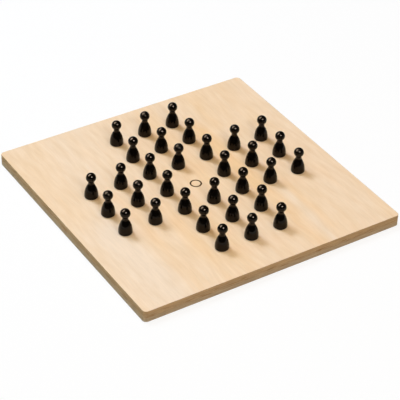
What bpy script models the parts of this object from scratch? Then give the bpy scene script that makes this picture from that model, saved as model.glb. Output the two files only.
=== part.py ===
"""Peg solitaire: a square wooden board with ring marks, and turned wooden pawns.

Units are metres, +Z up. The origin is the middle of the board's underside, X and Y
run along the board's edges, and the wood's grain runs along Y. Every cell of the
cross-shaped grid has a ring mark, and every cell but the middle one has a pawn.
"""

import math

import bmesh
import bpy

COLLECTION_NAME = "peg_solitaire"
CUTTER_COLLECTION_NAME = "ring_cutters"

# Grid: a cross with seven cells along each bar and bars three cells wide.
GRID_CELLS = 7
BAR_CELLS = 3
CELL_PITCH = 0.030
COLUMN_LETTERS = "abcdefghijklmnopqrstuvwxyz"

# Board: the margin runs from the outermost cell centres to the board's edge.
BOARD_MARGIN = 0.040
BOARD_THICKNESS = 0.011
BOARD_CORNER_RADIUS = 0.004
BOARD_CORNER_SEGMENTS = 4
BOARD_EDGE_EASING = 0.0004
BOARD_EASING_SEGMENTS = 2
BOARD_SIDE = (GRID_CELLS - 1) * CELL_PITCH + 2 * BOARD_MARGIN

# Ring mark: a shallow V groove, measured on the middle of its line.
RING_DIAMETER = 0.0097
RING_LINE_WIDTH = 0.00115
RING_DEPTH = 0.00025
RING_STEPS = 20
CUTTER_OVERRUN = 0.0005

# Pawn: a ball head on a short straight neck over a bell-shaped body.
PAWN_HEIGHT = 0.0246
PAWN_STEPS = 14
PAWN_STANDING_GAP = 0.0003
HEAD_RADIUS = 0.00455
HEAD_BANDS = 5
NECK_RADIUS = 0.0027
NECK_LENGTH = 0.0028
BODY_RADIUS = 0.0063
BODY_POINT_SHARES = (0.93, 0.80, 0.62, 0.36, 0.0)
BODY_FULLNESS_POWER = 2.2
FOOT_RISE = 0.0009
FOOT_INSET = 0.0005

# Merge distance of the turned shapes.
TURNING_MERGE = 0.00001

# Angle between faces past which a bevel rounds their edge.
EASED_EDGE_ANGLE = math.radians(60)
SHARP_EDGE_ANGLE = math.radians(35)

# Finishes: colour, roughness and metallic value.
BOARD_WOOD_COLOUR = (0.84, 0.62, 0.41, 1.0)
BOARD_WOOD_ROUGHNESS = 0.50
RING_LINE_COLOUR = (0.07, 0.035, 0.015, 1.0)
RING_LINE_ROUGHNESS = 0.75
PAWN_LACQUER_COLOUR = (0.012, 0.009, 0.007, 1.0)
PAWN_LACQUER_ROUGHNESS = 0.15
NOT_METALLIC = 0.0


def clear_scene():
    """Remove whatever the scene holds."""
    for existing in list(bpy.data.objects):
        bpy.data.objects.remove(existing, do_unlink=True)


def new_collection(name):
    """Return a new collection that is linked to the scene."""
    collection = bpy.data.collections.new(name)
    bpy.context.scene.collection.children.link(collection)
    return collection


def new_finish(name, colour, roughness):
    """Return a material with one Principled BSDF."""
    material = bpy.data.materials.new(name)
    material.use_nodes = True
    shader = material.node_tree.nodes["Principled BSDF"]
    shader.inputs["Base Color"].default_value = colour
    shader.inputs["Roughness"].default_value = roughness
    shader.inputs["Metallic"].default_value = NOT_METALLIC
    material.diffuse_color = colour
    return material


def grid_cells():
    """Yield the name and the centre of each cell of the cross, row by row."""
    middle = (GRID_CELLS - 1) / 2
    bar_reach = (BAR_CELLS - 1) / 2
    for row in range(GRID_CELLS):
        for column in range(GRID_CELLS):
            from_middle = (column - middle, row - middle)
            if min(abs(from_middle[0]), abs(from_middle[1])) > bar_reach:
                continue
            name = f"{COLUMN_LETTERS[column]}{row + 1}"
            yield name, from_middle[0] * CELL_PITCH, from_middle[1] * CELL_PITCH


def is_middle_cell(x, y):
    """Say whether a cell centre is the middle of the board, which has no pawn."""
    return math.hypot(x, y) < CELL_PITCH / 2


def profile_mesh(name, points, closed):
    """Return a mesh of edges in the XZ plane through points given as (radius, height)."""
    mesh = bpy.data.meshes.new(name)
    outline = bmesh.new()
    corners = [outline.verts.new((radius, 0, height)) for radius, height in points]
    for start, end in zip(corners, corners[1:]):
        outline.edges.new((start, end))
    if closed:
        outline.edges.new((corners[-1], corners[0]))
    outline.to_mesh(mesh)
    outline.free()
    return mesh


def add_turned_object(name, mesh, place, steps, collection):
    """Add an object that turns a profile once round its own vertical axis."""
    turned = bpy.data.objects.new(name, mesh)
    turned.location = place
    collection.objects.link(turned)
    screw = turned.modifiers.new("turning", "SCREW")
    screw.axis = "Z"
    screw.angle = 2 * math.pi
    screw.steps = steps
    screw.render_steps = steps
    screw.use_merge_vertices = True
    screw.merge_threshold = TURNING_MERGE
    screw.use_smooth_shade = True
    return turned


def ring_groove_profile():
    """Return the V of a ring groove, carried past the board's face by the overrun."""
    centre_radius = RING_DIAMETER / 2
    mouth_widening = (RING_DEPTH + CUTTER_OVERRUN) / RING_DEPTH
    half_mouth = RING_LINE_WIDTH / 2 * mouth_widening
    return [
        (centre_radius - half_mouth, CUTTER_OVERRUN),
        (centre_radius + half_mouth, CUTTER_OVERRUN),
        (centre_radius, -RING_DEPTH),
    ]


def add_ring_cutters(collection, finish):
    """Add a cutter for the ring groove of each cell, level with the board's top face."""
    mesh = profile_mesh("ring_groove", ring_groove_profile(), closed=True)
    mesh.materials.append(finish)
    for cell, x, y in grid_cells():
        place = (x, y, BOARD_THICKNESS)
        cutter = add_turned_object(f"ring_cutter_{cell}", mesh, place, RING_STEPS, collection)
        cutter.hide_render = True
        cutter.display_type = "WIRE"


def board_blank_mesh():
    """Return the square board with its four upright corners rounded."""
    blank = bmesh.new()
    bmesh.ops.create_cube(blank, size=1)
    bmesh.ops.scale(blank, vec=(BOARD_SIDE, BOARD_SIDE, BOARD_THICKNESS), verts=blank.verts)
    bmesh.ops.translate(blank, vec=(0, 0, BOARD_THICKNESS / 2), verts=blank.verts)
    upright = [edge for edge in blank.edges if edge.verts[0].co.z != edge.verts[1].co.z]
    bmesh.ops.bevel(
        blank,
        geom=upright,
        offset=BOARD_CORNER_RADIUS,
        offset_type="OFFSET",
        segments=BOARD_CORNER_SEGMENTS,
        profile=0.5,
        affect="EDGES",
        material=-1,
    )
    mesh = bpy.data.meshes.new("board")
    blank.to_mesh(mesh)
    blank.free()
    mesh.shade_smooth()
    mesh.set_sharp_from_angle(angle=SHARP_EDGE_ANGLE)
    return mesh


def add_board(collection, cutters, wood, ring_line):
    """Add the board: eased edges, and a ring groove cut in its top face for each cell."""
    board = bpy.data.objects.new("board", board_blank_mesh())
    board.data.materials.append(wood)
    board.data.materials.append(ring_line)
    collection.objects.link(board)

    easing = board.modifiers.new("eased_edges", "BEVEL")
    easing.width = BOARD_EDGE_EASING
    easing.segments = BOARD_EASING_SEGMENTS
    easing.limit_method = "ANGLE"
    easing.angle_limit = EASED_EDGE_ANGLE

    grooves = board.modifiers.new("ring_grooves", "BOOLEAN")
    grooves.operation = "DIFFERENCE"
    grooves.solver = "EXACT"
    grooves.operand_type = "COLLECTION"
    grooves.collection = cutters
    grooves.material_mode = "TRANSFER"


def head_points():
    """Return the ball head's outline from its top to where it meets the neck."""
    centre_height = PAWN_HEIGHT - HEAD_RADIUS
    neck_angle = math.pi - math.asin(NECK_RADIUS / HEAD_RADIUS)
    points = []
    for band in range(HEAD_BANDS + 1):
        angle = neck_angle * band / HEAD_BANDS
        points.append((HEAD_RADIUS * math.sin(angle), centre_height + HEAD_RADIUS * math.cos(angle)))
    return points


def body_points(shoulder_height):
    """Return the bell's outline from just under the neck to its widest place."""
    points = []
    for share in BODY_POINT_SHARES:
        swell = 1 - share ** BODY_FULLNESS_POWER
        radius = NECK_RADIUS + (BODY_RADIUS - NECK_RADIUS) * swell
        points.append((radius, FOOT_RISE + share * (shoulder_height - FOOT_RISE)))
    return points


def pawn_profile():
    """Return the pawn's outline down its outer side, from the crown to the flat foot."""
    points = head_points()
    shoulder_height = points[-1][1] - NECK_LENGTH
    points.append((NECK_RADIUS, shoulder_height))
    points.extend(body_points(shoulder_height))
    points.append((BODY_RADIUS - FOOT_INSET, 0))
    points.append((0, 0))
    return points


def add_pawns(collection, lacquer):
    """Add a pawn on each cell but the middle one."""
    mesh = profile_mesh("pawn", pawn_profile(), closed=False)
    mesh.materials.append(lacquer)
    for cell, x, y in grid_cells():
        if is_middle_cell(x, y):
            continue
        place = (x, y, BOARD_THICKNESS + PAWN_STANDING_GAP)
        add_turned_object(f"pawn_{cell}", mesh, place, PAWN_STEPS, collection)


def main():
    """Build the board and the pawns."""
    clear_scene()
    parts = new_collection(COLLECTION_NAME)
    cutters = new_collection(CUTTER_COLLECTION_NAME)
    wood = new_finish("board_wood", BOARD_WOOD_COLOUR, BOARD_WOOD_ROUGHNESS)
    ring_line = new_finish("ring_line", RING_LINE_COLOUR, RING_LINE_ROUGHNESS)
    lacquer = new_finish("pawn_lacquer", PAWN_LACQUER_COLOUR, PAWN_LACQUER_ROUGHNESS)
    add_ring_cutters(cutters, ring_line)
    add_board(parts, cutters, wood, ring_line)
    add_pawns(parts, lacquer)


if __name__ == "__main__":
    main()
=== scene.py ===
"""Looks of the peg solitaire game: a pale plywood board with ring marks, and black lacquered turned pawns.

The file is laid out as an add-on and run as a script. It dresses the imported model, which it loads as a fixed
frame: metres, +Z up, the origin in the middle of the board's underside, and the face grain along Y.
"""

import math

import bmesh
import bpy
from bpy.props import FloatProperty, FloatVectorProperty, IntProperty, PointerProperty
from mathutils import Matrix, Vector


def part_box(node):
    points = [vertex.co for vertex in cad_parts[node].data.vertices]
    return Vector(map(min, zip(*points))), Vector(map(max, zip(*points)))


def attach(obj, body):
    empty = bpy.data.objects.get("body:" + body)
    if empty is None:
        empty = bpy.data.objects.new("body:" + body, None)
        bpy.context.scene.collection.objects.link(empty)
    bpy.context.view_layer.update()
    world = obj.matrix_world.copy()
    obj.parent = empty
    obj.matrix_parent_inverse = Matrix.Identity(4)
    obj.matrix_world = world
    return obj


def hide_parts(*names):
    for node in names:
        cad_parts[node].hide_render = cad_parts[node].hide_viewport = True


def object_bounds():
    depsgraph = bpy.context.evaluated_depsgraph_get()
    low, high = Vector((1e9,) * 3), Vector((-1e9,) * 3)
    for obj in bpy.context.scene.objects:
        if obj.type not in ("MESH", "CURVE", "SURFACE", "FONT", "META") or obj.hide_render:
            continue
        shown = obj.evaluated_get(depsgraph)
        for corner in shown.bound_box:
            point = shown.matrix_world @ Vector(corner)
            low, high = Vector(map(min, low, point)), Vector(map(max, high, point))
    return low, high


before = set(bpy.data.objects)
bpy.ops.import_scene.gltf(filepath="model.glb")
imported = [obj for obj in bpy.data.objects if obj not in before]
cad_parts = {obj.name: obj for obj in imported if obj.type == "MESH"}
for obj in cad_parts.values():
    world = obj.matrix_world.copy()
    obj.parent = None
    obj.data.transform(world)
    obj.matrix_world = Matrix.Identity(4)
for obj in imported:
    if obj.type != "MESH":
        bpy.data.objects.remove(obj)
cad_low, cad_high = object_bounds()
board_low, board_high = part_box("board")
pawn_nodes = sorted(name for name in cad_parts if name.startswith("pawn_"))
pawn_low, pawn_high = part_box(pawn_nodes[0])

bl_info = {
    "name": "Peg Solitaire",
    "version": (1, 0, 0),
    "blender": (4, 5, 0),
    "location": "3D View > Sidebar > Solitaire",
    "description": "Builds the plywood board, its turned pawns and the studio round a peg solitaire game",
    "category": "Add Mesh",
}

FULL_TURN = 2 * math.pi
MERGE_DISTANCE = 1e-6


class SolitaireBoardSettings(bpy.types.PropertyGroup):
    """Sizes and colours of the plywood board."""

    side: FloatProperty(
        name="Side", description="Length of the board's edges",
        default=board_high.x - board_low.x, subtype="DISTANCE", unit="LENGTH",
    )
    thickness: FloatProperty(
        name="Thickness", description="Height of the board",
        default=board_high.z - board_low.z, subtype="DISTANCE", unit="LENGTH",
    )
    corner_radius: FloatProperty(
        name="Corner Radius", description="Rounding of the four upright corners",
        default=0.004, subtype="DISTANCE", unit="LENGTH",
    )
    corner_segments: IntProperty(
        name="Corner Segments", description="Facets in each upright corner", default=20,
    )
    edge_easing: FloatProperty(
        name="Edge Easing", description="Rounding where the edges were sanded",
        default=0.0004, subtype="DISTANCE", unit="LENGTH",
    )
    easing_segments: IntProperty(
        name="Easing Segments", description="Facets in each sanded edge", default=5,
    )
    ply_count: IntProperty(
        name="Plies", description="Sheets of veneer in the plywood, laid crosswise in turn", default=5,
    )
    ring_diameter: FloatProperty(
        name="Ring Diameter", description="Ring mark, measured on the middle of its line",
        default=0.0097, subtype="DISTANCE", unit="LENGTH",
    )
    ring_line_width: FloatProperty(
        name="Ring Line Width", description="Width of the ring mark's groove at the face",
        default=0.00115, subtype="DISTANCE", unit="LENGTH",
    )
    ring_depth: FloatProperty(
        name="Ring Depth", description="Depth of the ring mark's groove",
        default=0.00025, subtype="DISTANCE", unit="LENGTH",
    )
    ring_steps: IntProperty(
        name="Ring Steps", description="Facets round each ring mark", default=72,
    )
    cell_pitch: FloatProperty(
        name="Cell Pitch", description="From the middle of one ring mark to the next",
        default=0.030, subtype="DISTANCE", unit="LENGTH",
    )
    scorch_reach: FloatProperty(
        name="Scorch Reach", description="How far the brown rims of the ring marks reach from their line",
        default=0.0011, subtype="DISTANCE", unit="LENGTH",
    )
    scorched_wood: FloatVectorProperty(
        name="Scorched Wood", description="Brown of the veneer along the ring marks",
        default=(0.36, 0.17, 0.05), size=3, min=0, max=1, subtype="COLOR",
    )
    pale_wood: FloatVectorProperty(
        name="Pale Wood", description="Lightest tone of the face veneer",
        default=(0.898, 0.718, 0.542), size=3, min=0, max=1, subtype="COLOR",
    )
    warm_wood: FloatVectorProperty(
        name="Warm Wood", description="Warmest tone of the face veneer",
        default=(0.912, 0.622, 0.343), size=3, min=0, max=1, subtype="COLOR",
    )
    long_grain: FloatVectorProperty(
        name="Long Grain Edge", description="Plies cut along their grain, at the board's edge",
        default=(0.485, 0.314, 0.158), size=3, min=0, max=1, subtype="COLOR",
    )
    end_grain: FloatVectorProperty(
        name="End Grain Edge", description="Plies cut across their grain, at the board's edge",
        default=(0.478, 0.300, 0.143), size=3, min=0, max=1, subtype="COLOR",
    )
    dark_dash: FloatVectorProperty(
        name="Dark Dashes", description="Brown dashes in the middle plies, at the board's edge",
        default=(0.27, 0.12, 0.036), size=3, min=0, max=1, subtype="COLOR",
    )
    # Painted light: a paler, greyer tone painted toward the underside of the edges, standing in for light
    # bounced up from the white floor.
    painted_floor_bounce: FloatVectorProperty(
        name="Lower Edge", description="Greyer tone that the edges take toward the underside",
        default=(0.475, 0.390, 0.276), size=3, min=0, max=1, subtype="COLOR",
    )
    ring_line: FloatVectorProperty(
        name="Ring Line", description="Dark line of the ring marks",
        default=(0.026, 0.014, 0.006), size=3, min=0, max=1, subtype="COLOR",
    )
    faded_ring_line: FloatVectorProperty(
        name="Faded Ring Line", description="Ring marks where their line is thin",
        default=(0.048, 0.026, 0.011), size=3, min=0, max=1, subtype="COLOR",
    )


class SolitairePawnSettings(bpy.types.PropertyGroup):
    """Sizes and colours of the turned pawns."""

    height: FloatProperty(
        name="Height", description="From the flat foot to the top of the head",
        default=pawn_high.z - pawn_low.z, subtype="DISTANCE", unit="LENGTH",
    )
    body_radius: FloatProperty(
        name="Body Radius", description="Widest radius, just above the foot",
        default=(pawn_high.x - pawn_low.x) / 2, subtype="DISTANCE", unit="LENGTH",
    )
    head_radius: FloatProperty(
        name="Head Radius", description="Radius of the ball head",
        default=0.00455, subtype="DISTANCE", unit="LENGTH",
    )
    neck_radius: FloatProperty(
        name="Neck Radius", description="Radius of the short neck",
        default=0.0027, subtype="DISTANCE", unit="LENGTH",
    )
    neck_length: FloatProperty(
        name="Neck Length", description="Straight neck between the head and the shoulder",
        default=0.0028, subtype="DISTANCE", unit="LENGTH",
    )
    neck_blend: FloatProperty(
        name="Neck Blend", description="How far the hollows above and below the neck are eased",
        default=0.0015, subtype="DISTANCE", unit="LENGTH",
    )
    foot_rise: FloatProperty(
        name="Foot Rise", description="Height of the rounding at the foot",
        default=0.0009, subtype="DISTANCE", unit="LENGTH",
    )
    foot_inset: FloatProperty(
        name="Foot Inset", description="How far the rounding draws the foot in",
        default=0.0005, subtype="DISTANCE", unit="LENGTH",
    )
    steps: IntProperty(
        name="Steps", description="Facets round each pawn", default=56,
    )
    gloss: FloatProperty(
        name="Gloss", description="Specular level of the lacquer", default=0.20, min=0, max=1,
    )
    lacquer: FloatVectorProperty(
        name="Lacquer", description="Black of the lacquer",
        default=(0.0010, 0.0007, 0.0005), size=3, min=0, max=1, subtype="COLOR",
    )
    thin_lacquer: FloatVectorProperty(
        name="Thin Lacquer", description="Brownish black where the lacquer lies thin",
        default=(0.0040, 0.0024, 0.0010), size=3, min=0, max=1, subtype="COLOR",
    )


class SolitaireStageSettings(bpy.types.PropertyGroup):
    """Camera, lamps and floor."""

    azimuth: FloatProperty(
        name="Azimuth", description="Way round to the camera, from the board's near side",
        default=math.radians(-33.04), subtype="ANGLE", unit="ROTATION",
    )
    elevation: FloatProperty(
        name="Elevation", description="Height of the camera above the horizon",
        default=math.radians(36.66), subtype="ANGLE", unit="ROTATION",
    )
    roll: FloatProperty(
        name="Roll", description="Tilt of the camera about its own axis",
        default=math.radians(1.63), subtype="ANGLE", unit="ROTATION",
    )
    distance: FloatProperty(
        name="Distance", description="From the camera to the point it looks at",
        default=1.4648, subtype="DISTANCE", unit="LENGTH",
    )
    target: FloatVectorProperty(
        name="Target", description="Point the camera looks at",
        default=(-0.0100, -0.0230, board_high.z), size=3, subtype="XYZ", unit="LENGTH",
    )
    lens: FloatProperty(
        name="Lens", description="Focal length", default=149.36, subtype="DISTANCE_CAMERA", unit="CAMERA",
    )
    key_light: FloatVectorProperty(
        name="Key Light", description="Share of the top face's light that the high key softbox gives",
        default=(0.318, 0.381, 0.508), size=3, min=0, max=1, subtype="COLOR",
    )
    front_light: FloatVectorProperty(
        name="Front Light", description="Share of the top face's light that the front softbox gives",
        default=(0.120, 0.125, 0.130), size=3, min=0, max=1, subtype="COLOR",
    )
    side_light: FloatVectorProperty(
        name="Side Light", description="Share of the top face's light that the softbox at the left gives",
        default=(0.008, 0.042, 0.048), size=3, min=0, max=1, subtype="COLOR",
    )
    top_light: FloatVectorProperty(
        name="Top Light", description="Share of the top face's light that the softbox overhead gives",
        default=(0.474, 0.382, 0.254), size=3, min=0, max=1, subtype="COLOR",
    )
    strip_catch_light: FloatVectorProperty(
        name="Strip Catch Light", description="Strength of the long highlight in the lacquer",
        default=(2.08, 1.90, 1.74), size=3, min=0, max=4, subtype="COLOR",
    )
    spot_catch_light: FloatVectorProperty(
        name="Spot Catch Light", description="Strength of the round highlight in the lacquer",
        default=(1.36, 1.30, 1.38), size=3, min=0, max=4, subtype="COLOR",
    )
    sky_light: FloatVectorProperty(
        name="Sky Light", description="Share of the top face's light that comes evenly from all round",
        default=(0.080, 0.070, 0.060), size=3, min=0, max=1, subtype="COLOR",
    )
    floor_size: FloatProperty(
        name="Floor Size", description="Side of the floor", default=30.0, subtype="DISTANCE", unit="LENGTH",
    )


# The Mix node's colour sockets share their names with its other sockets, so they are taken by place.
MIX_FIRST_COLOUR, MIX_SECOND_COLOUR, MIX_COLOUR_RESULT = 6, 7, 2


class Finish:
    """The node tree of one finish, with a short call for each kind of node that the finishes use."""

    def __init__(self, name):
        self.material = bpy.data.materials.new(name)
        self.material.use_nodes = True
        self.tree = self.material.node_tree
        self.shader = self.tree.nodes["Principled BSDF"]

    def feed(self, socket, value):
        """Join an output to a socket, or set the socket's own value."""
        if isinstance(value, bpy.types.NodeSocket):
            self.tree.links.new(value, socket)
        elif value is not None:
            socket.default_value = value

    def set(self, **values):
        """Feed the shader's sockets, named with underscores for spaces."""
        for name, value in values.items():
            self.feed(self.shader.inputs[name.replace("_", " ").title().replace("Ior", "IOR")], value)

    def math(self, operation, first, second=None, third=None, clamp=False):
        """Return the result of a Math node."""
        node = self.tree.nodes.new("ShaderNodeMath")
        node.operation = operation
        node.use_clamp = clamp
        for socket, value in zip(node.inputs, (first, second, third)):
            self.feed(socket, value)
        return node.outputs["Value"]

    def place(self):
        """Return the X, Y and Z of the shaded point on the object."""
        place = self.tree.nodes.new("ShaderNodeTexCoord")
        split = self.tree.nodes.new("ShaderNodeSeparateXYZ")
        self.feed(split.inputs["Vector"], place.outputs["Object"])
        return split.outputs["X"], split.outputs["Y"], split.outputs["Z"]

    def facing(self):
        """Return the X, Y and Z of the surface's own direction."""
        geometry = self.tree.nodes.new("ShaderNodeNewGeometry")
        split = self.tree.nodes.new("ShaderNodeSeparateXYZ")
        self.feed(split.inputs["Vector"], geometry.outputs["Normal"])
        return split.outputs["X"], split.outputs["Y"], split.outputs["Z"]

    def vector(self, x, y, z):
        """Return a vector joined from three numbers."""
        node = self.tree.nodes.new("ShaderNodeCombineXYZ")
        for socket, value in zip(node.inputs, (x, y, z)):
            self.feed(socket, value)
        return node.outputs["Vector"]

    def noise(self, place, grain_size, detail=2.0, roughness=0.5):
        """Return noise from 0 to 1 whose lumps measure grain_size (x, y, z), in metres."""
        mapping = self.tree.nodes.new("ShaderNodeMapping")
        mapping.inputs["Scale"].default_value = [1 / size for size in grain_size]
        self.feed(mapping.inputs["Vector"], place)
        node = self.tree.nodes.new("ShaderNodeTexNoise")
        self.feed(node.inputs["Vector"], mapping.outputs["Vector"])
        node.inputs["Scale"].default_value = 1.0
        node.inputs["Detail"].default_value = detail
        node.inputs["Roughness"].default_value = roughness
        return node.outputs["Fac"]

    def ramp(self, value, low, high, to_low=0.0, to_high=1.0, smooth=True):
        """Return value taken from the range low to high into to_low to to_high, held at its ends."""
        node = self.tree.nodes.new("ShaderNodeMapRange")
        node.interpolation_type = "SMOOTHSTEP" if smooth else "LINEAR"
        node.clamp = True
        for name, entry in zip(("Value", "From Min", "From Max", "To Min", "To Max"),
                               (value, low, high, to_low, to_high)):
            self.feed(node.inputs[name], entry)
        return node.outputs["Result"]

    def blend(self, share, first, second):
        """Return the colour between first and second at share."""
        node = self.tree.nodes.new("ShaderNodeMix")
        node.data_type = "RGBA"
        node.clamp_factor = True
        self.feed(node.inputs["Factor"], share)
        self.feed(node.inputs[MIX_FIRST_COLOUR], first)
        self.feed(node.inputs[MIX_SECOND_COLOUR], second)
        return node.outputs[MIX_COLOUR_RESULT]

    def shade(self, colour, amount):
        """Return a colour made lighter or darker, where an amount of 1 leaves it as it is."""
        node = self.tree.nodes.new("ShaderNodeVectorMath")
        node.operation = "SCALE"
        self.feed(node.inputs["Vector"], colour)
        self.feed(node.inputs["Scale"], amount)
        return node.outputs["Vector"]

    def bump(self, height, distance, strength=1.0):
        """Give the shader a relief whose full height is distance."""
        node = self.tree.nodes.new("ShaderNodeBump")
        node.inputs["Distance"].default_value = distance
        node.inputs["Strength"].default_value = strength
        self.feed(node.inputs["Height"], height)
        self.feed(self.shader.inputs["Normal"], node.outputs["Normal"])


def opaque(colour):
    """Return a setting's colour with full alpha."""
    return (*colour, 1.0)


# Streaks of the face veneer: middle in X, half width, end in Y nearest the board's near side and
# farthest from it, all in metres, then how far the streak goes to the warm tone, or below 0 to the pale one.
STREAKS = (
    (-0.104, 0.036, -0.160, 0.015, -0.44),
    (-0.070, 0.009, -0.082, 0.030, 0.20),
    (-0.046, 0.016, -0.115, 0.010, 0.34),
    (-0.080, 0.022, 0.020, 0.150, -0.30),
    (-0.016, 0.022, -0.140, 0.110, 0.34),
    (0.010, 0.022, -0.040, 0.135, 0.32),
    (0.046, 0.017, -0.070, 0.102, 0.58),
    (0.047, 0.014, -0.150, -0.040, 0.26),
    (0.061, 0.008, -0.150, -0.005, -0.28),
    (0.070, 0.007, -0.140, 0.010, 0.26),
    (0.066, 0.012, 0.050, 0.145, 0.30),
)
STREAK_FADE_SHARE = 0.25


def streak_tone(finish, across, along, streak):
    """Return one streak's push on the tone, soft at its sides and drawn out at its ends."""
    middle, half_width, near_end, far_end, push = streak
    fade = (far_end - near_end) * STREAK_FADE_SHARE
    offset = finish.math("ABSOLUTE", finish.math("SUBTRACT", across, middle))
    side = finish.ramp(offset, 0, half_width, 1, 0)
    near = finish.ramp(along, near_end, near_end + fade)
    far = finish.ramp(along, far_end - fade, far_end, 1, 0)
    strength = finish.math("MULTIPLY", side, finish.math("MULTIPLY", near, far))
    return finish.math("MULTIPLY", strength, push)


# The ring marks lie on a cross with seven cells along each bar and bars three cells wide.
GRID_CELLS = 7
BAR_CELLS = 3


def ring_scorch(finish, board, x, y):
    """Return 1 along the line of each ring mark, falling to 0 at the ends of its scorched rims."""
    half_pitch = board.cell_pitch / 2
    across = finish.math("WRAP", x, half_pitch, -half_pitch)
    along = finish.math("WRAP", y, half_pitch, -half_pitch)
    square = finish.math("ADD", finish.math("POWER", across, 2.0), finish.math("POWER", along, 2.0))
    from_centre = finish.math("SQRT", square)
    from_line = finish.math("ABSOLUTE", finish.math("SUBTRACT", from_centre, board.ring_diameter / 2))
    rim = finish.ramp(from_line, board.ring_line_width / 2, board.scorch_reach, 1, 0)
    far_x, far_y = finish.math("ABSOLUTE", x), finish.math("ABSOLUTE", y)
    in_bars = finish.math("LESS_THAN", finish.math("MINIMUM", far_x, far_y), BAR_CELLS * half_pitch)
    in_reach = finish.math("LESS_THAN", finish.math("MAXIMUM", far_x, far_y), GRID_CELLS * half_pitch)
    return finish.math("MULTIPLY", rim, finish.math("MULTIPLY", in_bars, in_reach))


# The range that a noise is stretched over: the narrower it is, the stronger the contrast.
BROAD = (0.2, 0.8)
MIDDLE = (0.25, 0.75)
NARROW = (0.3, 0.7)

# Face veneer: sizes in metres across the grain, along it and in depth, then tones from pale (0) to warm (1),
# and shades where 1 leaves the colour as it is.
SWAY_SIZE = (0.045, 0.080, 0.005)
SWAY_REACH = 0.006
FIGURE_SIZE = (0.022, 0.230, 0.004)
FIGURE_TONES = (0.22, 0.60)
FLECK_SIZE = (0.0045, 0.024, 0.004)
FLECK_SLANT = 0.8
FLECK_TONES = (0.17, -0.17)
FLECK_SHADES = (0.958, 1.040)
FIBRE_SIZE = (0.0011, 0.026, 0.001)
FIBRE_SHADES = (0.956, 1.034)
FIBRE_RELIEF = 0.00004
PORE_SIZE = (0.00035, 0.0030, 0.0004)
PORE_RANGE = (0.66, 0.78)
PORE_SHADE = 0.93
SCORCH_STRENGTH = 0.7
VENEER_GLOSS = 0.16
VENEER_ROUGHNESS = (0.46, 0.58)


def face_veneer_finish(board):
    """Pale flat-cut veneer under a thin satin lacquer, its grain along Y."""
    finish = Finish("face_veneer")
    x, y, z = finish.place()
    sway = finish.noise(finish.vector(x, y, z), SWAY_SIZE)
    across = finish.math("ADD", x, finish.ramp(sway, 0, 1, -SWAY_REACH, SWAY_REACH, smooth=False))
    grain_place = finish.vector(across, y, z)

    figure = finish.noise(grain_place, FIGURE_SIZE, detail=3, roughness=0.45)
    tone = finish.ramp(figure, *MIDDLE, *FIGURE_TONES, smooth=False)
    top_side = finish.ramp(z, board.thickness / 3, board.thickness / 2)
    for streak in STREAKS:
        push = finish.math("MULTIPLY", streak_tone(finish, across, y, streak), top_side)
        tone = finish.math("ADD", tone, push)
    slant = finish.math("ADD", y, finish.math("MULTIPLY", x, FLECK_SLANT))
    fleck = finish.noise(finish.vector(across, slant, z), FLECK_SIZE)
    tone = finish.math("ADD", tone, finish.ramp(fleck, *MIDDLE, *FLECK_TONES, smooth=False))
    colour = finish.blend(tone, opaque(board.pale_wood), opaque(board.warm_wood))
    colour = finish.shade(colour, finish.ramp(fleck, *MIDDLE, *FLECK_SHADES, smooth=False))

    fibre = finish.noise(grain_place, FIBRE_SIZE, detail=3)
    colour = finish.shade(colour, finish.ramp(fibre, *BROAD, *FIBRE_SHADES, smooth=False))
    pores = finish.noise(grain_place, PORE_SIZE, detail=1)
    colour = finish.shade(colour, finish.ramp(pores, *PORE_RANGE, 1, PORE_SHADE))
    strength = finish.math("MULTIPLY", top_side, SCORCH_STRENGTH)
    scorch = finish.math("MULTIPLY", ring_scorch(finish, board, x, y), strength)
    colour = finish.blend(scorch, colour, opaque(board.scorched_wood))
    roughness = finish.ramp(fibre, *BROAD, *VENEER_ROUGHNESS, smooth=False)
    finish.set(base_color=colour, roughness=roughness, specular_ior_level=VENEER_GLOSS)
    finish.bump(fibre, FIBRE_RELIEF, strength=0.5)
    return finish.material


# Plywood edge: sizes in metres along X, Y and Z, shades where 1 leaves the colour as it is, and heights as
# shares of the board's thickness.
WANDER_SIZE = (0.030, 0.030, 0.004)
WANDER_REACH = 0.00018
LONG_FIBRE_SIZE = (0.012, 0.012, 0.00060)
LONG_FIBRE_SHADES = (0.84, 1.14)
END_FIBRE_SIZE = (0.0010, 0.0010, 0.0009)
END_FIBRE_SHADES = (0.90, 1.08)
BLOTCH_SIZE = (0.030, 0.030, 0.0030)
BLOTCH_SHADES = (1.05, 0.95)
# Painted bounce light on the lower edges: the height where it fades out, as a share of the thickness, and its
# strength at the underside.
PAINTED_BOUNCE_TOP_SHARE = 0.75
PAINTED_BOUNCE_STRENGTH = 0.70
DASH_SIZE = (0.013, 0.013, 0.0008)
DASH_RANGE = (0.53, 0.63)
DASH_STRENGTH = 0.72
CORE_MIDDLE_SHARE = 0.55
CORE_HALF_SHARE = 0.1
CORE_FADE_SHARE = 0.3
STRENGTH_PAST_CORE = 0.15
GLUE_LINE_REACH = (0.00004, 0.00016)
GLUE_LINE_SHADE = 0.78
EDGE_RELIEF = 0.00005
EDGE_GLOSS = 0.10
EDGE_ROUGHNESS = 0.75


def dark_dashes(finish, board, x, y, level):
    """Return how strongly the brown dashes show: most in the middle plies, little above and below them."""
    from_core = finish.math("ABSOLUTE", finish.math("SUBTRACT", level, CORE_MIDDLE_SHARE * board.thickness))
    core_half, core_fade = CORE_HALF_SHARE * board.thickness, CORE_FADE_SHARE * board.thickness
    core = finish.ramp(from_core, core_half, core_fade, 1, STRENGTH_PAST_CORE)
    dash = finish.noise(finish.vector(x, y, level), DASH_SIZE)
    return finish.math("MULTIPLY", core, finish.ramp(dash, *DASH_RANGE, 0, DASH_STRENGTH))


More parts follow.
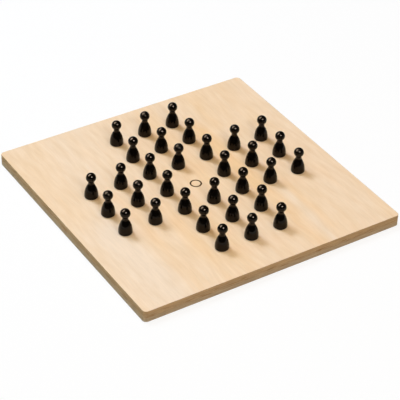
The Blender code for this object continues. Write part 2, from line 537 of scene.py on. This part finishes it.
def ply_edge_finish(board):
    """Sanded edge of the plywood: plies that show end grain and long grain in turn, with thin glue lines."""
    finish = Finish("ply_edge")
    x, y, z = finish.place()
    place = finish.vector(x, y, z)
    face_x, face_y, _ = finish.facing()
    ply_thickness = board.thickness / board.ply_count
    wander = finish.noise(place, WANDER_SIZE)
    level = finish.math("ADD", z, finish.ramp(wander, 0, 1, -WANDER_REACH, WANDER_REACH, smooth=False))
    ply = finish.math("FLOOR", finish.math("DIVIDE", level, ply_thickness))
    crosswise = finish.math("MODULO", ply, 2.0)
    steep_x, steep_y = finish.math("ABSOLUTE", face_x), finish.math("ABSOLUTE", face_y)
    near_side = finish.math("GREATER_THAN", steep_y, steep_x)
    end_grain = finish.math("ABSOLUTE", finish.math("SUBTRACT", near_side, crosswise))

    colour = finish.blend(end_grain, opaque(board.long_grain), opaque(board.end_grain))
    # Painted light: the edges blend toward a paler, greyer tone near the underside, in place of light bounced
    # up from the floor.
    painted_bounce = finish.ramp(z, 0, PAINTED_BOUNCE_TOP_SHARE * board.thickness, PAINTED_BOUNCE_STRENGTH, 0)
    colour = finish.blend(painted_bounce, colour, opaque(board.painted_floor_bounce))
    long_fibre = finish.noise(place, LONG_FIBRE_SIZE, detail=3, roughness=0.6)
    colour = finish.shade(colour, finish.ramp(long_fibre, *NARROW, *LONG_FIBRE_SHADES, smooth=False))
    blotch = finish.noise(place, BLOTCH_SIZE)
    colour = finish.shade(colour, finish.ramp(blotch, *NARROW, *BLOTCH_SHADES, smooth=False))
    end_fibre = finish.noise(place, END_FIBRE_SIZE)
    speck = finish.math("SUBTRACT", finish.ramp(end_fibre, *NARROW, *END_FIBRE_SHADES, smooth=False), 1.0)
    colour = finish.shade(colour, finish.math("ADD", 1.0, finish.math("MULTIPLY", end_grain, speck)))
    colour = finish.blend(dark_dashes(finish, board, x, y, level), colour, opaque(board.dark_dash))

    half_ply = ply_thickness / 2
    within = finish.math("PINGPONG", finish.math("ADD", level, half_ply), half_ply)
    from_glue = finish.math("SUBTRACT", half_ply, within)
    colour = finish.shade(colour, finish.ramp(from_glue, *GLUE_LINE_REACH, GLUE_LINE_SHADE, 1))
    finish.set(base_color=colour, roughness=EDGE_ROUGHNESS, specular_ior_level=EDGE_GLOSS)
    finish.bump(finish.math("ADD", long_fibre, end_fibre), EDGE_RELIEF, strength=0.5)
    return finish.material


RING_PATCH_SIZE = (0.0012, 0.0016, 0.0012)
RING_GLOSS = 0.05
RING_ROUGHNESS = 0.80


def ring_line_finish(board):
    """Dark matt line at the bottom of the ring marks' grooves."""
    finish = Finish("ring_line")
    patch = finish.noise(finish.vector(*finish.place()), RING_PATCH_SIZE)
    colour = finish.blend(finish.ramp(patch, *NARROW), opaque(board.ring_line), opaque(board.faded_ring_line))
    finish.set(base_color=colour, roughness=RING_ROUGHNESS, specular_ior_level=RING_GLOSS)
    return finish.material


# Lacquer: sizes in metres along X, Y and Z. The turning lines vary along Z alone.
CLOUD_SIZE = (0.004, 0.004, 0.003)
CLOUD_RANGE = (0.45, 0.75)
HAZE_SIZE = (0.0025, 0.0025, 0.0012)
LACQUER_ROUGHNESS = (0.045, 0.085)
LACQUER_TINT = (1.0, 0.82, 0.64, 1.0)
TURNING_LINE_SIZE = (1.0, 1.0, 0.00022)
TURNING_LINE_SHARE = 0.5
ORANGE_PEEL_SIZE = (0.0009, 0.0009, 0.0009)
LACQUER_RELIEF = 0.00001


def pawn_lacquer_finish(pawn):
    """Glossy black lacquer over turned wood, slightly hazy in places."""
    finish = Finish("pawn_lacquer")
    x, y, z = finish.place()
    place = finish.vector(x, y, z)
    cloud = finish.ramp(finish.noise(place, CLOUD_SIZE), *CLOUD_RANGE)
    colour = finish.blend(cloud, opaque(pawn.lacquer), opaque(pawn.thin_lacquer))
    haze = finish.noise(place, HAZE_SIZE, detail=3)
    roughness = finish.ramp(haze, *NARROW, *LACQUER_ROUGHNESS, smooth=False)
    finish.set(base_color=colour, roughness=roughness)
    finish.set(specular_ior_level=pawn.gloss, specular_tint=LACQUER_TINT)
    turning_lines = finish.noise(finish.vector(0.0, 0.0, z), TURNING_LINE_SIZE)
    orange_peel = finish.noise(place, ORANGE_PEEL_SIZE, detail=1)
    relief = finish.math("ADD", finish.math("MULTIPLY", turning_lines, TURNING_LINE_SHARE), orange_peel)
    finish.bump(relief, LACQUER_RELIEF, strength=0.6)
    return finish.material


def add_piece(name, shape, finishes):
    """Return a new object at the origin from a finished bmesh, with its finishes in its material slots."""
    mesh = bpy.data.meshes.new(name)
    shape.to_mesh(mesh)
    shape.free()
    for finish in finishes:
        mesh.materials.append(finish)
    piece = bpy.data.objects.new(name, mesh)
    bpy.context.scene.collection.objects.link(piece)
    return piece


def spin_shape(shape, outline, steps):
    """Spin an outline a full turn round Z, close its seam and poles, and face it outwards."""
    bmesh.ops.spin(
        shape, geom=outline, cent=(0, 0, 0), axis=(0, 0, 1), angle=FULL_TURN, steps=steps, use_merge=True,
    )
    bmesh.ops.remove_doubles(shape, verts=shape.verts, dist=MERGE_DISTANCE)
    bmesh.ops.recalc_face_normals(shape, faces=shape.faces)


def ring_centres():
    """Return the middle of each ring mark: one under every pawn, and one in the free middle cell."""
    centres = [Vector((0, 0))]
    for node in pawn_nodes:
        low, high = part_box(node)
        centres.append(((low + high) / 2).to_2d())
    return centres


# Places of the board's finishes in its material slots.
BOARD_FACE, BOARD_EDGE, BOARD_RING = 0, 1, 2

GROOVE_OVERRUN = 0.0005
EASED_EDGE_ANGLE = math.radians(60)

# A face whose normal lies this near to Z takes the face veneer, and one this near to an axis is flat.
VENEER_NORMAL = 0.95
FLAT_NORMAL = 0.9999


def board_blank(board):
    """Return the plain slab with rounded corners and sanded edges, its side faces in the edge finish."""
    slab = bmesh.new()
    bmesh.ops.create_cube(slab, size=1)
    bmesh.ops.scale(slab, vec=(board.side, board.side, board.thickness), verts=slab.verts)
    bmesh.ops.translate(slab, vec=(board_low + board_high) / 2, verts=slab.verts)
    upright = [edge for edge in slab.edges if abs(edge.verts[0].co.z - edge.verts[1].co.z) > MERGE_DISTANCE]
    bmesh.ops.bevel(
        slab, geom=upright, offset=board.corner_radius, segments=board.corner_segments,
        profile=0.5, affect="EDGES", material=-1,
    )
    rims = [edge for edge in slab.edges if edge.calc_face_angle(0) > EASED_EDGE_ANGLE]
    bmesh.ops.bevel(
        slab, geom=rims, offset=board.edge_easing, segments=board.easing_segments,
        profile=0.5, affect="EDGES", material=-1,
    )
    for face in slab.faces:
        face.material_index = BOARD_FACE if abs(face.normal.z) > VENEER_NORMAL else BOARD_EDGE
        face.smooth = max(map(abs, face.normal)) < FLAT_NORMAL
    return slab


def ring_cutters(board):
    """Return one shape with a V-shaped ring for every cell, carried a little past the board's face."""
    widening = (board.ring_depth + GROOVE_OVERRUN) / board.ring_depth
    half_mouth = board.ring_line_width / 2 * widening
    radius = board.ring_diameter / 2
    corners = (
        (radius - half_mouth, GROOVE_OVERRUN),
        (radius + half_mouth, GROOVE_OVERRUN),
        (radius, -board.ring_depth),
    )
    cutters = bmesh.new()
    for centre in ring_centres():
        groove = bmesh.new()
        points = [groove.verts.new((along, 0, height)) for along, height in corners]
        lines = [groove.edges.new((points[k - 1], points[k])) for k in range(len(points))]
        spin_shape(groove, points + lines, board.ring_steps)
        bmesh.ops.translate(groove, vec=(centre.x, centre.y, board_high.z), verts=groove.verts)
        for face in groove.faces:
            face.material_index = BOARD_RING
        ring = bpy.data.meshes.new("ring")
        groove.to_mesh(ring)
        groove.free()
        cutters.from_mesh(ring)
        bpy.data.meshes.remove(ring)
    return cutters


def cut_grooves(blank, cutters):
    """Cut the ring grooves into the board and remove the cutters."""
    groove_cut = blank.modifiers.new("ring_grooves", "BOOLEAN")
    groove_cut.operation = "DIFFERENCE"
    groove_cut.solver = "EXACT"
    groove_cut.object = cutters
    seen = bpy.context.evaluated_depsgraph_get()
    grooved = bpy.data.meshes.new_from_object(blank.evaluated_get(seen))
    blank.modifiers.clear()
    blank.data = grooved
    bpy.data.objects.remove(cutters)


class SOLITAIRE_OT_add_board(bpy.types.Operator):
    """Add the plywood board with its ring marks"""

    bl_idname = "solitaire.add_board"
    bl_label = "Add Board"

    def execute(self, context):
        """Model the board, give it its finishes and put it in the place of its CAD node."""
        board = context.scene.solitaire_board
        finishes = (face_veneer_finish(board), ply_edge_finish(board), ring_line_finish(board))
        piece = add_piece("plywood_board", board_blank(board), finishes)
        cut_grooves(piece, add_piece("ring_cutters", ring_cutters(board), finishes))
        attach(piece, "board")
        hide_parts("board")
        return {"FINISHED"}


HEAD_STEPS = 22
NECK_STEPS = 8
BODY_STEPS = 30
FOOT_STEPS = 6
BODY_FULLNESS_POWER = 2.2
NECK_SMOOTHING_PASSES = 10
SHARP_EDGE_ANGLE = math.radians(40)


def head_points(pawn):
    """Return the ball head's outline from its crown to where it meets the neck."""
    centre_height = pawn.height - pawn.head_radius
    neck_angle = math.pi - math.asin(pawn.neck_radius / pawn.head_radius)
    points = []
    for step in range(HEAD_STEPS + 1):
        angle = neck_angle * step / HEAD_STEPS
        radius = pawn.head_radius * math.sin(angle)
        points.append((radius, centre_height + pawn.head_radius * math.cos(angle)))
    return points


def neck_points(pawn, head_end):
    """Return the neck's straight outline below the head, down to the shoulder."""
    points = []
    for step in range(1, NECK_STEPS + 1):
        points.append((pawn.neck_radius, head_end - pawn.neck_length * step / NECK_STEPS))
    return points


def body_points(pawn, shoulder):
    """Return the bell's outline from the shoulder down to its widest place."""
    points = []
    for step in range(1, BODY_STEPS + 1):
        share = math.cos(math.pi / 2 * step / BODY_STEPS)
        swell = 1 - share ** BODY_FULLNESS_POWER
        radius = pawn.neck_radius + (pawn.body_radius - pawn.neck_radius) * swell
        points.append((radius, pawn.foot_rise + share * (shoulder - pawn.foot_rise)))
    return points


def foot_points(pawn):
    """Return the rounded edge of the foot, and the middle of its flat underside."""
    points = []
    for step in range(1, FOOT_STEPS + 1):
        angle = math.pi / 2 * step / FOOT_STEPS
        radius = pawn.body_radius - pawn.foot_inset * (1 - math.cos(angle))
        points.append((radius, pawn.foot_rise * (1 - math.sin(angle))))
    points.append((0, 0))
    return points


def pawn_shape(pawn):
    """Return one turned pawn that stands on the origin."""
    head = head_points(pawn)
    head_end = head[-1][1]
    shoulder = head_end - pawn.neck_length
    profile = head + neck_points(pawn, head_end) + body_points(pawn, shoulder) + foot_points(pawn)
    shape = bmesh.new()
    points = [shape.verts.new((radius, 0, height)) for radius, height in profile]
    lines = [shape.edges.new(pair) for pair in zip(points, points[1:])]
    hollows = [
        point for point in points
        if min(abs(point.co.z - head_end), abs(point.co.z - shoulder)) < pawn.neck_blend
    ]
    for _ in range(NECK_SMOOTHING_PASSES):
        bmesh.ops.smooth_vert(shape, verts=hollows, factor=0.5, use_axis_x=True, use_axis_z=True)
    spin_shape(shape, points + lines, pawn.steps)
    return shape


class SOLITAIRE_OT_add_pawns(bpy.types.Operator):
    """Add a turned pawn on every ring mark but the middle one"""

    bl_idname = "solitaire.add_pawns"
    bl_label = "Add Pawns"

    def execute(self, context):
        """Turn a pawn for each pawn node and stand it where the node stands."""
        pawn = context.scene.solitaire_pawn
        lacquer = pawn_lacquer_finish(pawn)
        for node in pawn_nodes:
            low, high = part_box(node)
            shape = pawn_shape(pawn)
            foot = Vector(((low.x + high.x) / 2, (low.y + high.y) / 2, low.z))
            bmesh.ops.translate(shape, vec=foot, verts=shape.verts)
            piece = add_piece(f"turned_{node}", shape, (lacquer,))
            piece.data.shade_smooth()
            piece.data.set_sharp_from_angle(angle=SHARP_EDGE_ANGLE)
            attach(piece, node)
            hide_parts(node)
        return {"FINISHED"}


# The floor's own white, and the share of plain white that camera and mirror rays see in its place.
FLOOR_WHITE = 0.95
FLOOR_SHINE_SHARE = 0.85

# Softboxes: the bearing (from +X towards +Y), height and lean of the lamp in degrees, then its width and
# length in metres. The catch lights only show as mirrored highlights.
LAMP_DISTANCE = 2.2
CATCH_DISTANCE = 1.9
KEY_SOFTBOX = (105, 60, 0, 0.57, 0.57)
FRONT_SOFTBOX = (-98.5, 42, 0, 0.34, 0.34)
SIDE_SOFTBOX = (148, 31, 0, 1.10, 1.30)
TOP_SOFTBOX = (-110, 80, 0, 2.90, 2.90)
STRIP_CATCH_LIGHT = (131, 56, 50, 0.36, 1.80)
SPOT_CATCH_LIGHT = (-95.5, 47.5, 0, 0.45, 0.45)
LAMP_SAMPLES = 12


def add_floor(stage):
    """Add a white floor under the board that keeps a pale shadow of the game."""
    finish = Finish("white_floor")
    finish.set(base_color=(FLOOR_WHITE, FLOOR_WHITE, FLOOR_WHITE, 1.0), roughness=1.0, specular_ior_level=0.0)
    nodes = finish.tree.nodes
    path = nodes.new("ShaderNodeLightPath")
    seen = finish.math("ADD", path.outputs["Is Camera Ray"], path.outputs["Is Glossy Ray"], clamp=True)
    seen = finish.math("ADD", seen, path.outputs["Is Transmission Ray"], clamp=True)
    shine = nodes.new("ShaderNodeEmission")
    mixer = nodes.new("ShaderNodeMixShader")
    finish.feed(mixer.inputs["Fac"], finish.math("MULTIPLY", seen, FLOOR_SHINE_SHARE))
    finish.feed(mixer.inputs[1], finish.shader.outputs["BSDF"])
    finish.feed(mixer.inputs[2], shine.outputs["Emission"])
    finish.feed(nodes["Material Output"].inputs["Surface"], mixer.outputs["Shader"])
    plane = bmesh.new()
    bmesh.ops.create_grid(plane, x_segments=1, y_segments=1, size=stage.floor_size / 2)
    bmesh.ops.translate(plane, vec=(0, 0, cad_low.z), verts=plane.verts)
    floor = add_piece("floor", plane, (finish.material,))


def lamp_reach(turn, distance, size):
    """Return the light at the board's middle from a softbox of one watt, counted over the softbox's face."""
    reach = 0
    for row in range(LAMP_SAMPLES):
        for column in range(LAMP_SAMPLES):
            right = ((column + 0.5) / LAMP_SAMPLES - 0.5) * size[0]
            up = ((row + 0.5) / LAMP_SAMPLES - 0.5) * size[1]
            spot = turn @ Vector((right, up, distance))
            reach += spot.z * distance / spot.length ** 4
    return reach / LAMP_SAMPLES ** 2 / math.pi


def add_softbox(name, softbox, light, mirrored=False):
    """Add a softbox that gives the top face its share of light, or one that only shows as a highlight."""
    bearing, height, lean, width, length = softbox
    swing = Matrix.Rotation(math.radians(bearing + 90), 3, "Z")
    tilt = Matrix.Rotation(math.radians(90 - height), 3, "X")
    turn = swing @ tilt @ Matrix.Rotation(math.radians(lean), 3, "Z")
    distance = CATCH_DISTANCE if mirrored else LAMP_DISTANCE
    lamp = bpy.data.lights.new(name, "AREA")
    lamp.shape = "RECTANGLE"
    lamp.size, lamp.size_y = width, length
    lamp.energy = max(light) * math.pi / lamp_reach(turn, distance, (width, length))
    lamp.color = [channel / max(light) for channel in light]
    holder = bpy.data.objects.new(name, lamp)
    holder.location = turn @ Vector((0, 0, distance))
    holder.rotation_mode = "QUATERNION"
    holder.rotation_quaternion = turn.to_quaternion()
    holder.visible_diffuse = not mirrored
    holder.visible_glossy = mirrored
    bpy.context.scene.collection.objects.link(holder)


def add_sky(stage):
    """Light the stage evenly from all round."""
    world = bpy.data.worlds.new("sky")
    world.use_nodes = True
    world.node_tree.nodes["Background"].inputs["Color"].default_value = opaque(stage.sky_light)
    bpy.context.scene.world = world


def add_camera(stage):
    """Put the camera at the photograph's viewing angle."""
    around, up = stage.azimuth, stage.elevation
    back = Vector((math.sin(around) * math.cos(up), -math.cos(around) * math.cos(up), math.sin(up)))
    side = back.cross(Vector((0, 0, -1))).normalized()
    view = Matrix((side, back.cross(side), back)).transposed() @ Matrix.Rotation(stage.roll, 3, "Z")
    data = bpy.data.cameras.new("camera")
    data.lens = stage.lens
    camera = bpy.data.objects.new("camera", data)
    camera.location = Vector(stage.target) + back * stage.distance
    camera.rotation_mode = "QUATERNION"
    camera.rotation_quaternion = view.to_quaternion()
    bpy.context.scene.collection.objects.link(camera)
    bpy.context.scene.camera = camera


class SOLITAIRE_OT_set_stage(bpy.types.Operator):
    """Add the floor, the lamps, the sky and the camera"""

    bl_idname = "solitaire.set_stage"
    bl_label = "Set Stage"

    def execute(self, context):
        """Build the studio round the game."""
        stage = context.scene.solitaire_stage
        context.scene.view_settings.view_transform = "Standard"
        add_floor(stage)
        add_softbox("key_softbox", KEY_SOFTBOX, stage.key_light)
        add_softbox("front_softbox", FRONT_SOFTBOX, stage.front_light)
        add_softbox("side_softbox", SIDE_SOFTBOX, stage.side_light)
        add_softbox("top_softbox", TOP_SOFTBOX, stage.top_light)
        add_softbox("strip_catch_light", STRIP_CATCH_LIGHT, stage.strip_catch_light, mirrored=True)
        add_softbox("spot_catch_light", SPOT_CATCH_LIGHT, stage.spot_catch_light, mirrored=True)
        add_sky(stage)
        add_camera(stage)
        return {"FINISHED"}


class SOLITAIRE_PT_sidebar(bpy.types.Panel):
    """Buttons and sizes of the game"""

    bl_idname = "SOLITAIRE_PT_sidebar"
    bl_label = "Peg Solitaire"
    bl_space_type = "VIEW_3D"
    bl_region_type = "UI"
    bl_category = "Solitaire"

    def draw(self, context):
        """List each operator with its settings below it."""
        groups = (
            (SOLITAIRE_OT_add_board, context.scene.solitaire_board),
            (SOLITAIRE_OT_add_pawns, context.scene.solitaire_pawn),
            (SOLITAIRE_OT_set_stage, context.scene.solitaire_stage),
        )
        for operator, settings in groups:
            box = self.layout.box()
            box.operator(operator.bl_idname)
            for name in settings.__annotations__:
                box.prop(settings, name)


CLASSES = (
    SolitaireBoardSettings,
    SolitairePawnSettings,
    SolitaireStageSettings,
    SOLITAIRE_OT_add_board,
    SOLITAIRE_OT_add_pawns,
    SOLITAIRE_OT_set_stage,
    SOLITAIRE_PT_sidebar,
)


def register():
    """Add the classes, and the settings to the scene."""
    for cls in CLASSES:
        bpy.utils.register_class(cls)
    bpy.types.Scene.solitaire_board = PointerProperty(type=SolitaireBoardSettings)
    bpy.types.Scene.solitaire_pawn = PointerProperty(type=SolitairePawnSettings)
    bpy.types.Scene.solitaire_stage = PointerProperty(type=SolitaireStageSettings)


def unregister():
    """Take the settings off the scene and remove the classes."""
    del bpy.types.Scene.solitaire_stage
    del bpy.types.Scene.solitaire_pawn
    del bpy.types.Scene.solitaire_board
    for cls in reversed(CLASSES):
        bpy.utils.unregister_class(cls)


def main():
    """Build the game and its stage."""
    register()
    bpy.ops.solitaire.add_board()
    bpy.ops.solitaire.add_pawns()
    bpy.ops.solitaire.set_stage()


if __name__ == "__main__":
    main()
